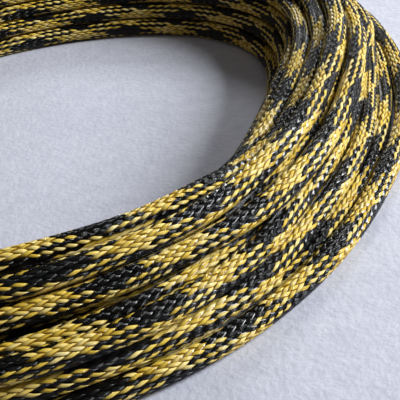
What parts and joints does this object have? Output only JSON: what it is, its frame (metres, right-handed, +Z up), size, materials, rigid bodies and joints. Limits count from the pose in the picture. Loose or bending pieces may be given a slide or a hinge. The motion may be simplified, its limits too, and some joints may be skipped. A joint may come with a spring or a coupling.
{
  "type": "coil of braided cable sleeve",
  "caption": "Round flat-lying coil of thin black and yellow braided polyester cable sleeve, its turns piled in layers.",
  "frame": {"origin": "on the coil's axis, level with the surface that the lowest turns rest on", "axes": "+Z up along the coil's axis; the coil is round, so +X and +Y are any two directions across it"},
  "size_m": [0.17, 0.17, 0.0185],
  "materials": {
    "braided_polyester": "satin"
  },
  "bodies": {
    "root": {"sleeve_coil": "braided_polyester"}
  },
  "joints": []
}
